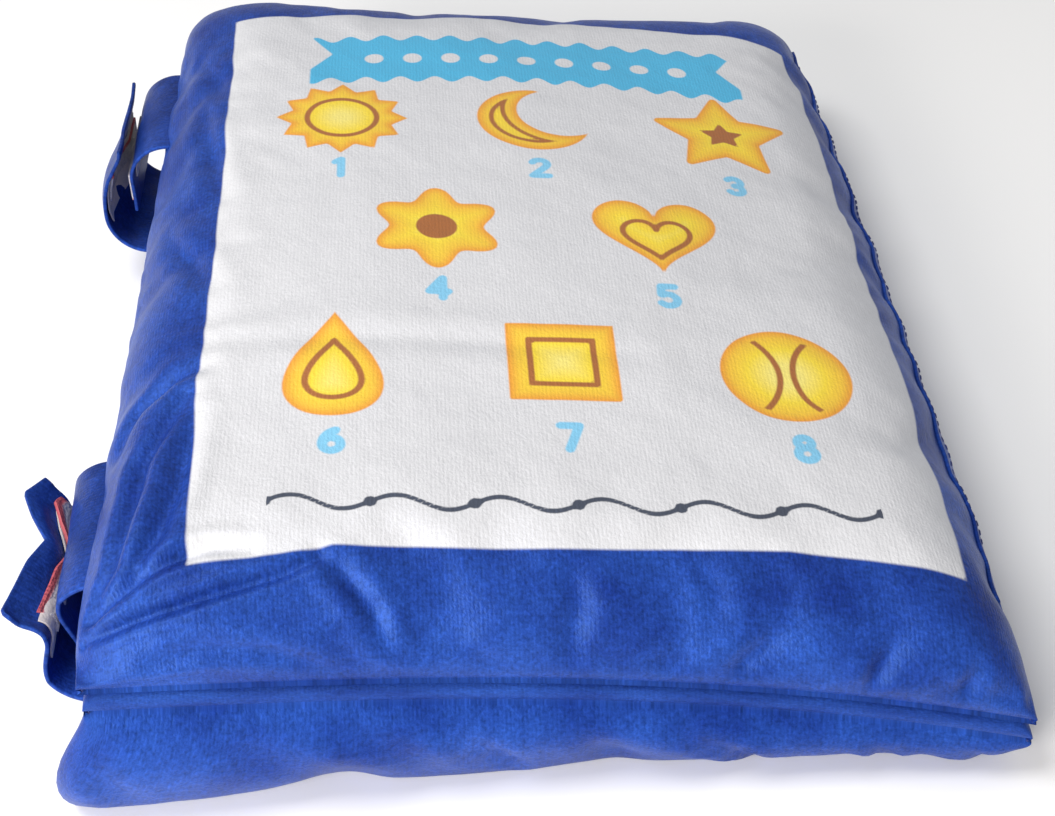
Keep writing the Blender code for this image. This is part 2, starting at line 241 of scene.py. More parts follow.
def crease(u, v, line, width, depth):
    """A fold in cloth: a valley exp(-(d / w)²) and a soft ridge beside it, fading at its ends."""
    d, share = distance_to_line(u, v, line)
    fade = np.sin(np.pi * np.clip(share * 0.9 + 0.05, 0, 1)) ** 0.6
    valley = np.exp(-((d / width) ** 2))
    ridge = np.exp(-(((d - 2.1 * width) / (1.3 * width)) ** 2))
    return depth * fade * (0.5 * ridge - valley)


print("relief sample:", noise(np.zeros(1), np.arange(3.0), 5, 1).round(2))

# %% [markdown]
# ## The form of a stuffed cover
# Two flat panels sewn round their rims and stuffed make a cushion: level in the middle,
# falling to the seam along a quarter of an ellipse, with its sides pulled in between the
# corners because the cloth there has to go round more filling. Grid lines are set by
# the angle round that ellipse, so they are as close on the shoulder as on top.

# %% Cushion grids


def stations(low, high, low_radius, high_radius, cell):
    """Grid lines: low + r (1 - cos turn) round each shoulder, and even steps between."""
    shoulder = lambda r: r * (1 - np.cos(np.linspace(0, math.pi / 2, math.ceil(1.5 * r / cell))))
    rise, fall = low + shoulder(low_radius), high - shoulder(high_radius)
    middle = np.linspace(rise[-1], fall[-1], math.ceil((fall[-1] - rise[-1]) / cell) + 1)
    return np.concatenate([rise[:-1], middle, fall[-2::-1]])


def lift(distance, radius, power):
    """0 at the seam and 1 past the shoulder: (1 - (1 - d / r) ** p) ** (1 / p)."""
    rest = np.clip(1 - distance / radius, 0, 1)
    return (1 - rest**power) ** (1 / power)


def outline(x, y, corners, draw_in):
    """Sides pull in by draw_in (1 - t²); each corner moves by its own offset, fading inwards."""
    a, b = shares(x, y)
    px = x + (1 - b * b) * (1 - a) / 2
    py = y - draw_in * b * (1 - a * a)
    for side, end, dx, dy in corners:
        pull = np.clip((1 + side * a) / 2, 0, 1) ** 5 * np.clip((1 + end * b) / 2, 0, 1) ** 6
        px, py = px + dx * pull, py + dy * pull
    return px, py


def face(x, y, rim, level, radii, corners, power=2.0, crown=0.0, draw_in=7.0):
    """One cushion face over the grid lines x and y: the rim's height, then up or down to the
    level by the product of the shoulders' lifts, then a slow crown. Returns it and the lift."""
    gx, gy = np.meshgrid(x, y, indexing="ij")
    fore, spine, end = radii
    share = lift(gx - x[0], fore, power) * lift(x[-1] - gx, spine, power)
    share = share * lift(y[-1] - abs(gy), end, power)
    a, b = shares(gx, gy)
    bulge = np.clip((1 - a * a) * (1 - b * b), 0, 1)
    z = rim(gx, gy) + (level(gx, gy) - rim(gx, gy)) * share + crown * bulge
    px, py = outline(gx, gy, corners, draw_in)
    return np.stack([px, py, z], -1), share


def cloth_map(grid):
    """UV in metres: lengths along the middle row and the middle column, as on flat cloth."""
    n, m = grid.shape[:2]
    u, v = lengths_along(grid[:, m // 2]), lengths_along(grid[n // 2])
    return np.stack(np.meshgrid(u - u[n // 2], v - v[m // 2], indexing="ij"), -1) * MM


# %% [markdown]
# ## Letting the cloth settle
# The formula gives a tidy cushion. Real velour is a little larger than the shape it
# covers, so it puckers along the seam. A cloth simulation on a coarse copy of the face
# finds those puckers: its rim is pinned, pressure stands for the stuffing, and a negative
# shrink makes the cloth slack. The result is split in two: the slow swelling is capped,
# so the book keeps its size, and the quick wrinkles are kept.

# %% Cloth settling
SETTLE_FRAMES, SETTLE_CELL = 18, 4.5


def simulate_cloth(name, grid, pressure, slack):
    """A pinned sheet under pressure, stepped frame by frame; returns where its points went."""
    n, m = grid.shape[:2]
    sheet = new_piece(name, grid, quads(n, m))
    edge = np.zeros((n, m), bool)
    edge[[0, -1]] = edge[:, [0, -1]] = True
    group = sheet.vertex_groups.new(name="sewn")
    group.add([int(k) for k in np.flatnonzero(edge)], 1, "REPLACE")
    cloth = sheet.modifiers.new("Settle", "CLOTH").settings
    cloth.quality = 6
    cloth.mass = 0.25
    cloth.vertex_group_mass = "sewn"
    cloth.tension_stiffness = cloth.compression_stiffness = 18
    cloth.bending_stiffness = 0.4
    cloth.shrink_min = -slack
    cloth.use_pressure = True
    cloth.uniform_pressure_force = pressure
    cloth.effector_weights.gravity = 0
    scene = bpy.context.scene
    for step in range(1, SETTLE_FRAMES + 1):
        scene.frame_set(step)
    points = np.empty(n * m * 3, np.float32)
    moved = sheet.evaluated_get(bpy.context.evaluated_depsgraph_get())
    moved.data.vertices.foreach_get("co", points)
    bpy.data.objects.remove(sheet, do_unlink=True)
    scene.frame_set(1)
    return points.reshape(n, m, 3).astype(float) / MM


def blurred(field, rounds):
    """Each value averaged with its neighbours, as 1 2 1, this many times both ways."""
    for _ in range(rounds):
        for axis in (0, 1):
            ends = field.take([0], axis), field.take([-1], axis)
            padded = np.concatenate([ends[0], field, ends[1]], axis)
            low, mid, high = (padded.take(range(k, k + field.shape[axis]), axis) for k in range(3))
            field = (low + 2 * mid + high) / 4
    return field


def resampled(field, old_x, old_y, new_x, new_y):
    """A grid of vectors read at new grid lines, straight between the old ones."""
    i = np.interp(new_x, old_x, np.arange(len(old_x)))
    j = np.interp(new_y, old_y, np.arange(len(old_y)))
    i0 = np.minimum(i.astype(int), len(old_x) - 2)
    j0 = np.minimum(j.astype(int), len(old_y) - 2)
    a, b = (i - i0)[:, None, None], (j - j0)[None, :, None]
    rows = field[i0] * (1 - a) + field[i0 + 1] * a
    return rows[:, j0] * (1 - b) + rows[:, j0 + 1] * b


def edge_share(x, y, reach):
    """0 on the rim, 1 from reach millimetres inside it, along the grid lines."""
    gx, gy = np.meshgrid(x, y, indexing="ij")
    near = np.minimum(np.minimum(gx - x[0], x[-1] - gx), np.minimum(gy - y[0], y[-1] - gy))
    return np.clip(near / reach, 0, 1) ** 0.5


def settle(name, build, radii, x, y, pressure, slack, gain, calm, cap=0.8):
    """Moves for the fine grid lines x, y, from a simulation of the same face on coarse ones.
    Swelling is kept up to cap, and wrinkles by gain at the rim and by calm far from it."""
    fore, spine, end = radii
    coarse_x = stations(x[0], x[-1], fore, spine, SETTLE_CELL)
    coarse_y = stations(y[0], y[-1], end, end, SETTLE_CELL)
    rest = build(coarse_x, coarse_y)
    moved = simulate_cloth(name, rest, pressure, slack) - rest
    slow = blurred(moved, 14)
    quick = moved - slow
    most = np.abs(slow).max()
    inside = edge_share(coarse_x, coarse_y, 60.0)[..., None] ** 2
    field = slow * min(1, cap / max(most, 1e-6)) + quick * (gain * (1 - inside) + calm * inside)
    print(f"{name}: swelling up to {most:.1f} mm, wrinkles up to {np.abs(quick).max():.1f} mm")
    return blurred(resampled(field, coarse_x, coarse_y, x, y), 6)


# %% [markdown]
# ## Sewing two faces into one cushion
# The outer and the inner face share the grid lines of their rims, so the seam between
# them is a ring of quads that dips in a little: cloth turned inwards and sewn.

# %% Closed cushion
SEAM_INSET = 1.3
FAR_OFF = 9.0  # a distance that shows no ink


def rim_ring(n, m):
    """Grid numbers round the edge of an n by m sheet, in order."""
    top = np.arange(m - 1)
    right = np.arange(n - 1) * m + m - 1
    bottom = (n - 1) * m + np.arange(m - 1, 0, -1)
    left = np.arange(n - 1, 0, -1) * m
    return np.concatenate([top, right, bottom, left])


def sew(outer, inner, inset, upward):
    """(points, faces, kinds, seam) of a closed cushion: both sheets, and halfway between their
    rims a ring drawn in by inset. A quad's kind is 0 outside, 1 inside and 2 on the seam."""
    n, m = outer.shape[:2]
    ring = rim_ring(n, m)
    points = np.concatenate([outer.reshape(-1, 3), inner.reshape(-1, 3)])
    rim = (points[ring] + points[ring + n * m]) / 2
    ahead = np.roll(rim, -1, 0) - np.roll(rim, 1, 0)
    inward = unit(np.stack([-ahead[:, 1], ahead[:, 0], np.zeros(len(rim))], -1))
    inward *= np.sign(((rim.mean(0) - rim) * inward).sum(1).mean())
    seam = rim + inward * inset
    first = len(points)
    points = np.concatenate([points, seam])
    k = np.arange(len(ring))
    after = np.roll(k, -1)
    # the ring's quads go from the outer rim to the seam and on to the inner rim
    upper = np.stack([ring, ring[after], first + after, first + k], -1)
    lower = np.stack([first + k, first + after, ring[after] + n * m, ring + n * m], -1)
    faces = np.concatenate([quads(n, m), quads(n, m, n * m)[:, ::-1], upper, lower])
    kinds = np.repeat([0, 1, 2], [len(quads(n, m)), len(quads(n, m)), 2 * len(ring)])
    return points, faces if upward else faces[:, ::-1], kinds, seam


def cushion(name, outer, inner, uv, inks, upward, materials, slots):
    """A sewn cushion with its cloth map, its inks as point attributes (a pair for each ink,
    outside and inside) and its materials; slots are those of the outer face, the inner face
    and the seam. Returns it and its seam line."""
    points, faces, kinds, seam = sew(outer, inner, SEAM_INSET, upward)
    ring = rim_ring(*outer.shape[:2])
    uv = uv.reshape(-1, 2)
    uv = np.concatenate([uv, uv, uv[ring]])
    piece = new_piece(name, points, faces, uv, np.take(slots, kinds))
    for ink, (outside, inside) in inks.items():
        values = np.concatenate([outside.ravel(), inside.ravel(), np.full(len(ring), FAR_OFF)])
        made = piece.data.attributes.new(ink, "FLOAT", "POINT")
        made.data.foreach_set("value", values.astype(np.float32))
    for material in materials:
        piece.data.materials.append(material)
    return piece, seam


print("ring of a 3 by 4 sheet:", rim_ring(3, 4))

# %% [markdown]
# ## Where the camera stands
# The camera's place, tilt and lens were found by matching the book's corners and
# the white panel's edges to their places in the photograph.

# %% Camera
CAMERA_PLACE = (-12.573, -418.902, 365.907)
CAMERA_LENS = 57.848
CAMERA_TILT = (48.1507, 0.0124, -3.5749)  # degrees about X, Y and Z
camera_data = bpy.data.cameras.new("camera")
camera_data.lens = CAMERA_LENS
camera_data.clip_start = 0.01
camera = bpy.data.objects.new("camera", camera_data)
camera.location = [c * MM for c in CAMERA_PLACE]
camera.rotation_euler = [math.radians(a) for a in CAMERA_TILT]
bpy.context.scene.collection.objects.link(camera)
bpy.context.scene.camera = camera
print("camera at", [round(c, 3) for c in camera.location])

# %% [markdown]
# ## Floor and light
# A pale floor under soft light, as in a product picture. Velour shows its form by the
# light that grazes it, so the key light stands in front and to the left. A larger one
# hangs high on the left, and the white world lightens what both leave in shade.

# %% Floor, lights and world
FLOOR_SIDE = 4000.0
square = np.array([[-1, -1, 0], [1, -1, 0], [1, 1, 0], [-1, 1, 0]])
floor = new_piece("floor", square * FLOOR_SIDE / 2, [[0, 1, 2, 3]])
floor_paint, tree, shader = new_material("matt white paper")
wire(tree, shader, {"Base Color": linear("#fdfdfd"), "Roughness": 0.9})
floor.data.materials.append(floor_paint)


def add_light(name, place, target, size, watts, colour):
    """A square lamp that faces the target."""
    data = bpy.data.lights.new(name, "AREA")
    data.size, data.energy, data.color = size, watts, linear(colour)[:3]
    lamp = bpy.data.objects.new(name, data)
    to = unit(np.array(target, float) - place)
    right = unit(np.cross(to, (0, 0, 1)))
    turn = np.stack([right, np.cross(right, to), -to], 1)
    lamp.matrix_world = Matrix([[*row, p] for row, p in zip(turn, place)] + [[0, 0, 0, 1]])
    bpy.context.scene.collection.objects.link(lamp)


add_light("key", (-0.5, -0.72, 0.36), (-0.04, -0.08, 0.03), 0.4, 8.2, "#fffaf4")
add_light("top", (-0.62, -0.1, 1.3), (0, 0, 0.03), 0.7, 11.8, "#ffffff")
world = bpy.context.scene.world or bpy.data.worlds.new("world")
bpy.context.scene.world = world
world.use_nodes = True
sky = {"Color": linear("#ffffff"), "Strength": 0.36}
wire(world.node_tree, world.node_tree.nodes["Background"], sky)
bpy.context.scene.view_settings.view_transform = "Standard"

# %% [markdown]
# ## The printed picture
# The cover's white page carries plain shapes to count. Each shape is a signed distance: how
# far, in millimetres, a point is outside its edge, and negative inside. The distances
# are stored on the mesh, and the material turns each into crisp ink at its edge, which
# stays sharper than painted points would.

# %% Signed distances


def round_spot(x, y, centre, radius):
    return np.hypot(x - centre[0], y - centre[1]) - radius


def polygon(x, y, corners):
    """Distance to the nearest side, negative where an odd number of sides lies to the right."""
    corners = np.asarray(corners, float)
    best = distance_to_line(x, y, np.concatenate([corners, corners[:1]]))[0]
    inside = np.zeros(x.shape, bool)
    for (ax, ay), (bx, by) in zip(corners, np.roll(corners, -1, 0)):
        crosses = (ay > y) != (by > y)
        inside ^= crosses & (x < (bx - ax) * (y - ay) / np.where(by == ay, 1, by - ay) + ax)
    return np.where(inside, -best, best)


def angles(count):
    """This many even steps round a turn."""
    return np.linspace(0, 2 * math.pi, count, endpoint=False)


def petals(centre, radius, count, depth):
    """Points round a centre at r (1 - depth (1 - cos(count angle)) / 2)."""
    t = angles(72)
    r = radius * (1 - depth * (1 - np.cos(count * t)) / 2)
    return np.stack([centre[0] + r * np.sin(t), centre[1] + r * np.cos(t)], 1)


def star(centre, radius, points, waist):
    """A star's corners, far and near by turns."""
    t = np.arange(2 * points) * math.pi / points
    r = np.where(np.arange(2 * points) % 2 == 0, radius, radius * waist)
    return np.stack([centre[0] + r * np.sin(t), centre[1] + r * np.cos(t)], 1)


def drop(centre, radius):
    """A drop: sin(t / 2) ** 1.4 pulls its sides in towards the point at t = 0."""
    t = angles(48)
    half = radius * 0.92 * np.sin(t) * np.sin(t / 2) ** 1.4
    return np.stack([centre[0] + half, centre[1] + radius * np.cos(t)], 1)


def heart(centre, radius):
    """A heart: x = sin³ t, y = (13 cos t - 5 cos 2t - 2 cos 3t - cos 4t) / 15 + 0.12."""
    t = angles(64)
    t = t[(abs(np.sin(t)) > 0.3) | (abs(np.sin(t)) < 1e-6)]  # one corner at each cusp
    y = (13 * np.cos(t) - 5 * np.cos(2 * t) - 2 * np.cos(3 * t) - np.cos(4 * t)) / 15 + 0.12
    return np.stack([centre[0] + radius * 1.03 * np.sin(t) ** 3, centre[1] + radius * y], 1)


# %% Numerals from strokes


def arc(cx, cy, r, first, last, n=9):
    turns = np.radians(np.linspace(first, last, n))
    return [(cx + r * math.cos(t), cy + r * math.sin(t)) for t in turns]


NUMERALS = {  # strokes in a box one unit high, each a run of points
    1: [[(-0.16, 0.3), (0.03, 0.46), (0.03, -0.46)]],
    2: [arc(0, 0.21, 0.25, 160, -35) + [(-0.26, -0.46), (0.27, -0.46)]],
    3: [arc(0, 0.22, 0.24, 150, -90), arc(0, -0.22, 0.25, 90, -150)],
    4: [[(0.12, -0.46), (0.12, 0.46), (-0.28, -0.17), (0.28, -0.17)]],
    5: [[(0.22, 0.46), (-0.19, 0.46), (-0.22, 0.05)], arc(-0.02, -0.18, 0.28, 130, -145)],
    6: [arc(0, -0.2, 0.25, 0, 360, 16), arc(0.27, -0.17, 0.52, 178, 108)],
    7: [[(-0.26, 0.46), (0.26, 0.46), (-0.06, -0.46)]],
    8: [arc(0, 0.23, 0.21, 0, 360, 14), arc(0, -0.22, 0.25, 0, 360, 14)],
}


def numerals(x, y, spots, first, drop_by, height, weight):
    """Distance to the numerals from first on, one under each spot: to their nearest stroke,
    less half its width."""
    near = np.full(x.shape, 1e9)
    for digit, (sx, sy) in enumerate(spots, first):
        for stroke in NUMERALS[digit]:
            line = np.array(stroke) * height + (sx, sy - drop_by)
            near = np.minimum(near, distance_to_line(x, y, line)[0])
    return near - weight / 2


# %% The cover's page
PAGE_CENTRE = (19.0, -6.3)
# the page's outline as the stuffing stretches it: a little bowed at the top, kinked by
# the long crease at the bottom left
PAGE_OUTLINE = [(-81, 119), (-54, 122.5), (-27, 126.5), (0, 128), (30, 127.5), (60, 125)]
PAGE_OUTLINE += [(90, 121.5), (113, 118), (117, 98), (118.5, 24), (118, -56), (117, -112)]
PAGE_OUTLINE += [(115.5, -137), (97, -134.5), (71, -131.3), (4, -132), (-42, -131.9)]
PAGE_OUTLINE += [(-48, -133.4), (-61, -135.4), (-76.7, -137.3), (-79, -71), (-79, 14)]
MOTIF_RADIUS = 18.5
MOTIFS = [(-62, 59), (0, 61), (62, 59), (-33, -1), (33, -1), (-62, -62), (0, -60), (62, -62)]
RIBBON_HEIGHT, RIBBON_HALF, RIBBON_WAVE, BEAD_PITCH = 101, 14.5, 11.5, 13
LINE_HEIGHT, LINE_HALF, LINE_WAVE = -113, 78, 26


def page_distances(x, y):
    """Every ink's distance over the cover: the page, the ribbon, the shapes, their darker
    details, the light-blue numerals and the dark line."""
    u, v = x - PAGE_CENTRE[0], y - PAGE_CENTRE[1]
    inks = {"page": polygon(x, y, PAGE_OUTLINE)}
    # a ribbon with a wavy upper and lower edge, swallow-tail ends and a row of round holes
    height = v - RIBBON_HEIGHT + 0.0009 * u * u
    wave = 1.9 * np.sin(u * 2 * math.pi / RIBBON_WAVE)
    ends = abs(u) - 73 + 7 * np.clip(1 - abs(v - RIBBON_HEIGHT) / 11, 0, 1)
    ribbon = np.maximum(abs(height) - RIBBON_HALF + wave, ends * 0.8)
    beads = np.hypot((u + BEAD_PITCH / 2) % BEAD_PITCH - BEAD_PITCH / 2, height) - 3.2
    inks["ribbon"] = np.maximum(ribbon, -np.where(abs(u) < 60, beads, FAR_OFF))
    r, spots = MOTIF_RADIUS, MOTIFS
    square = np.maximum(abs(u - spots[6][0]), abs(v - spots[6][1]))
    hollow = round_spot(u, v, (spots[1][0] + 9, spots[1][1] + 5), r * 0.78)
    crescent = np.maximum(round_spot(u, v, spots[1], r), -hollow)
    shapes = [
        polygon(u, v, star(spots[0], r + 2.5, 12, 0.78)),
        crescent,
        polygon(u, v, star(spots[2], r + 3, 5, 0.5)) - 1.5,
        polygon(u, v, petals(spots[3], r + 1.5, 6, 0.3)),
        polygon(u, v, heart(spots[4], r)),
        polygon(u, v, drop(spots[5], r + 2)),
        square - r * 0.82,
        round_spot(u, v, spots[7], r),
    ]
    inks["shape"] = np.minimum.reduce(shapes)
    details = [
        abs(round_spot(u, v, spots[0], r * 0.6)) - 0.9,
        abs(crescent + 4.6) - 0.8,
        polygon(u, v, star(spots[2], r * 0.42, 5, 0.5)),
        round_spot(u, v, spots[3], r * 0.33),
        abs(polygon(u, v, heart((spots[4][0], spots[4][1] - 2.5), r * 0.54))) - 0.9,
        abs(polygon(u, v, drop((spots[5][0], spots[5][1] - 2), r * 0.62))) - 0.9,
        abs(square - r * 0.48) - 0.9,
        abs(round_spot(u, v, (spots[7][0] - 22, spots[7][1]), 20)) - 0.9,
        abs(round_spot(u, v, (spots[7][0] + 22, spots[7][1]), 20)) - 0.9,
    ]
    inks["detail"] = np.maximum(np.minimum.reduce(details), inks["shape"] + 2.6)
    inks["numeral"] = numerals(u, v, spots, 1, 29.0, 9.5, 2.6)
    wavy = abs(v - LINE_HEIGHT - 2.2 * np.sin(u * 2 * math.pi / LINE_WAVE)) - 0.75
    dots = np.hypot((u + LINE_WAVE / 2) % LINE_WAVE - LINE_WAVE / 2, v - LINE_HEIGHT) - 1.7
    inks["line"] = np.where(abs(u) < LINE_HALF, np.minimum(wavy, dots), FAR_OFF)
    return inks


# the shapes of the two inner pages by their first numeral: maker, radius, the inner line's
# radius, how much lower that lies, and what else the maker needs
INNER_SPOTS = [(-45, 66), (45, 66), (-45, -48), (45, -48)]
INNER_SHAPES = {
    1: [
        (heart, 30, 18, 0),
        (star, 33, 15, 0, 5, 0.5),
        (petals, 30, 15, 0, 8, 0.2),
        (drop, 30, 18, 3),
    ],
    5: [
        (petals, 30, 15, 0, 5, 0.25),
        (drop, 30, 18, 3),
        (star, 32, 18, 0, 12, 0.8),
        (star, 33, 15, 0, 6, 0.6),
    ],
}


def inner_page_distances(x, y, facing, first):
    """A page inside the book: a framed sheet with four large shapes and their numerals from
    first on. Facing is 1 where it is read from above and -1 on the cover that turns over."""
    u, v = facing * (x - MIDDLE_X), y
    sheet = np.maximum(abs(u) - 92, abs(v) - 126) - 4
    shapes, rings = [], []
    for (cx, cy), (maker, radius, ring, lower, *rest) in zip(INNER_SPOTS, INNER_SHAPES[first]):
        shapes.append(polygon(u, v, maker((cx, cy), radius, *rest)))
        rings.append(abs(polygon(u, v, maker((cx, cy - lower), ring, *rest))))
    return {
        "page": sheet,
        "ribbon": abs(sheet + 9) - 2.2,
        "shape": np.minimum.reduce(shapes),
        "detail": np.minimum.reduce(rings) - 1.2,
        "numeral": numerals(u, v, INNER_SPOTS, first, 47.0, 15.0, 4.0),
        "line": np.full(u.shape, FAR_OFF),
    }


print(len(MOTIFS), "shapes of radius", MOTIF_RADIUS)

# %% [markdown]
# ## Velour
# Velour is knitted polyester with its loops brushed up into a short pile. The knit's
# columns, called wales, stand about a millimetre apart and show as fine lines. The
# fibres shine in their own colour, so the shader gets a soft blue gloss and a little sheen.
# A slow noise varies the pile's lay, and two fine ones make the fibres; the finest also lightens
# and darkens the colour in specks, partly the fibres' own tone and partly painted sheen for the
# pile's highlights.

# %% Velour shader
WALE = 1.05  # spacing of the knit's columns, in millimetres


def spread(tree, value, low, high, out_low, out_high):
    """A reading mapped from low..high to out_low..out_high."""
    limits = {"From Min": low, "From Max": high, "To Min": out_low, "To Max": out_high}
    return add(tree, "ShaderNodeMapRange", {"Value": value, **limits}).outputs[0]


def times(tree, first, second):
    """The product of two readings."""
    product = add(tree, "ShaderNodeMath", {0: first, 1: second}, operation="MULTIPLY")
    return product.outputs[0]


def raised(tree, reading, amount, height):
    """A height with this much of a reading added."""
    values = {0: reading, 1: amount, 2: height}
    return add(tree, "ShaderNodeMath", values, operation="MULTIPLY_ADD").outputs[0]


def tinted(tree, colour, factor):
    """A colour times a number at each point."""
    mixed = add(tree, "ShaderNodeVectorMath", {0: colour, 1: factor}, operation="MULTIPLY")
    return mixed.outputs[0]


def cloth_uv(tree):
    return add(tree, "ShaderNodeUVMap", uv_map="cloth").outputs["UV"]


def cloth_noise(tree, place, scale, detail, roughness=0.5):
    """A noise reading over the cloth's own lengths."""
    values = {"Vector": place, "Scale": scale, "Detail": detail, "Roughness": roughness}
    return add(tree, "ShaderNodeTexNoise", values).outputs["Fac"]


def velour_surface(tree, shader, light, dark, gloss="#4f86ea"):
    """Wires the pile: brushed patches, streaks along the wales and single fibres, then the gloss
    and the bump. The fibres' specks are partly their own tone and partly painted sheen. Returns
    the tone and the factor of fibre specks and painted sheen that darkens and lightens it."""
    cloth = cloth_uv(tree)
    stretch = add(tree, "ShaderNodeMapping", {"Vector": cloth, "Scale": (1.0, 0.55, 1.0)})
    patches = cloth_noise(tree, cloth, 34, 5, 0.62)
    streaks = cloth_noise(tree, stretch.outputs[0], 420, 3, 0.7)
    fibre = cloth_noise(tree, cloth, 900, 3, 0.7)
    ribs = {"Vector": cloth, "Scale": 2 * math.pi / 20 / (WALE * MM)}
    ribs.update({"Distortion": 0.9, "Detail": 1, "Detail Scale": 3})
    bands = {"wave_type": "BANDS", "bands_direction": "X", "wave_profile": "SIN"}
    wales = add(tree, "ShaderNodeTexWave", ribs, **bands).outputs["Fac"]
    tone = add(tree, "ShaderNodeValToRGB", {"Fac": patches})
    for stop, position, code in zip(tone.color_ramp.elements, (0.34, 0.66), (dark, light)):
        stop.position, stop.color = position, linear(code)
    # painted sheen: the fibre noise scales the colour by 0.66 to 1.34 in fine specks, partly the
    # fibres' own tone and partly the pile's highlights painted in
    fibre_fleck_and_painted_sheen = spread(tree, fibre, 0.32, 0.68, 0.66, 1.34)
    streak = spread(tree, streaks, 0.3, 0.7, 0.8, 1.24)
    stripe = spread(tree, wales, 0.0, 1.0, 0.93, 1.05)
    height = raised(tree, wales, 0.12, raised(tree, streaks, 0.8, fibre))
    add_bump(tree, shader, height, 0.4, 0.0005)
    wire(tree, shader, {"Roughness": 0.42, "Specular IOR Level": 0.7})
    wire(tree, shader, {"Specular Tint": linear(gloss), "Sheen Tint": linear(light)})
    wire(tree, shader, {"Sheen Weight": 0.06, "Sheen Roughness": 0.5})
    return tone.outputs["Color"], times(tree, times(tree, fibre_fleck_and_painted_sheen, streak), stripe)


def velour(name, light, dark):
    material, tree, shader = new_material(name)
    colour, grain_and_painted_sheen = velour_surface(tree, shader, light, dark)
    # the base colour carries the painted sheen specks along with the fibres' own tone
    wire(tree, shader, {"Base Color": tinted(tree, colour, grain_and_painted_sheen)})
    return material


BLUE_LIGHT, BLUE_DARK = "#24479b", "#162e7a"
blue_velour = velour("brushed polyester velour, blue", BLUE_LIGHT, BLUE_DARK)
strap_velour = velour("brushed polyester velour, strap", "#234294", "#122562")

# %% [markdown]
# ## Ink on velour
# The page is printed by heat, so the dye sinks into the pile and its edges feather by a
# few tenths of a millimetre. Each ink covers the ones before it, with its stored distance
# as the mask. The yellow shapes deepen to orange near their edges.

# %% Printed velour
INKS = {
    "ribbon": "#55b4dc",
    "shape": "glow",
    "detail": "#a86a34",
    "numeral": "#86c6e6",
    "line": "#4b4f58",
}
FEATHER = {"page": 0.5, "line": 0.25}
GLOW = ((0.0, "#f3e27a"), (0.45, "#f2d63c"), (0.8, "#eec03a"), (1.0, "#e79a35"))


def ink_mask(tree, name):
    """1 inside the stored shape and 0 outside, soft over the feather's width; the distance."""
    reading = add(tree, "ShaderNodeAttribute", attribute_name=name).outputs["Fac"]
    feather = FEATHER.get(name, 0.35)
    limits = {"Value": reading, "From Min": feather, "From Max": -feather}
    mask = add(tree, "ShaderNodeMapRange", limits, interpolation_type="SMOOTHSTEP")
    return mask.outputs[0], reading


def printed_velour(name):
    material, tree, shader = new_material(name)
    blue, grain_and_painted_sheen = velour_surface(tree, shader, BLUE_LIGHT, BLUE_DARK, "#6f9cf0")
    # the blue and the page's white both carry the painted sheen specks along with the fibres' own
    # tone
    paper = tinted(tree, linear("#d6d6d8")[:3], spread(tree, grain_and_painted_sheen, 0.6, 1.4, 0.96, 1.04))
    colour = mix(tree, ink_mask(tree, "page")[0], tinted(tree, blue, grain_and_painted_sheen), paper)
    for ink, code in INKS.items():
        mask, depth = ink_mask(tree, ink)
        if code != "glow":
            dye = linear(code)
        else:
            glow = add(tree, "ShaderNodeValToRGB", {"Fac": spread(tree, depth, -14, 0, 0, 1)})
            ramp = glow.color_ramp.elements
            ramp[0].color, ramp[1].color = linear(GLOW[0][1]), linear(GLOW[-1][1])
            for position, between in GLOW[1:-1]:
                ramp.new(position).color = linear(between)
            dye = glow.outputs["Color"]
        colour = mix(tree, mask, colour, dye)
    wire(tree, shader, {"Base Color": colour})
    return material


cover_print = printed_velour("brushed polyester velour, printed by heat")
print("materials so far:", [m.name for m in bpy.data.materials if m.users])

# %% [markdown]
# ## The back cover, on top
# This is the piece the picture shows. Its outer face has fine grid lines, under a
# millimetre apart, because the print's edges are stored on them.

# %% Back cover
# corners: fore-edge or spine, near or far, and how far each moves in x and y
BACK_CORNERS = [(-1, 1, 3.0, -4.0), (1, 1, -6.0, 0.5), (-1, -1, 1.5, 1.5), (1, -1, 4.5, -3.0)]
BACK_RADII, BACK_INNER_RADII = (36.0, 28.0, 34.0), (16.0, 16.0, 16.0)  # fore-edge, spine, ends
BACK_SETTLING = {"pressure": 3.0, "slack": 0.03, "gain": 0.7, "calm": 0.1}
SHOULDER_BULGE = 1.8
LEAF_GAP = 0.2  # how far each inner face stays from where the covers meet
RELIEF_REACH = 1.2  # how soon the relief fades in from the rim


def seam_tilt(a, b):
    """Both seams sag 6 mm at the spine's near corner and rise 3 mm at the fore-edge's."""
    near = np.clip((1 - b) / 2, 0, 1) ** 3
    return near * (3.0 * np.clip((1 - a) / 2, 0, 1) ** 3 - 6.0 * np.clip((1 + a) / 2, 0, 1) ** 3)


def meeting(x, y):
    """Where the covers touch: the parting, tilted with the seams."""
    return parting(x) + seam_tilt(*shares(x, y))


def back_outer(x, y):
    level = lambda gx, gy: wedge(gx, FORE_EDGE_HEIGHT, SPINE_HEIGHT) + 0.5 + 0.5 * gy / HALF_DEPTH
    rim = lambda gx, gy: meeting(gx, gy) + BACK_SEAM_RISE + GROOVE
    grid, share = face(x, y, rim, level, BACK_RADII, BACK_CORNERS, power=1.9, crown=CROWN)
    return grid + normals_of(grid) * (SHOULDER_BULGE * np.sin(math.pi * share))[..., None]


def back_inner(x, y):
    level = lambda gx, gy: meeting(gx, gy) + LEAF_GAP
    rim = lambda gx, gy: meeting(gx, gy) + BACK_SEAM_RISE - GROOVE
    return face(x, y, rim, level, BACK_INNER_RADII, BACK_CORNERS)[0]


BACK_CELL = 0.95
back_x = stations(FORE_EDGE_X, RIM_X, BACK_RADII[0], BACK_RADII[1], BACK_CELL)
back_y = stations(-HALF_DEPTH, HALF_DEPTH, BACK_RADII[2], BACK_RADII[2], BACK_CELL)
outer_rest = back_outer(back_x, back_y)
back_uv = cloth_map(outer_rest)
print("back cover grid:", outer_rest.shape[:2])

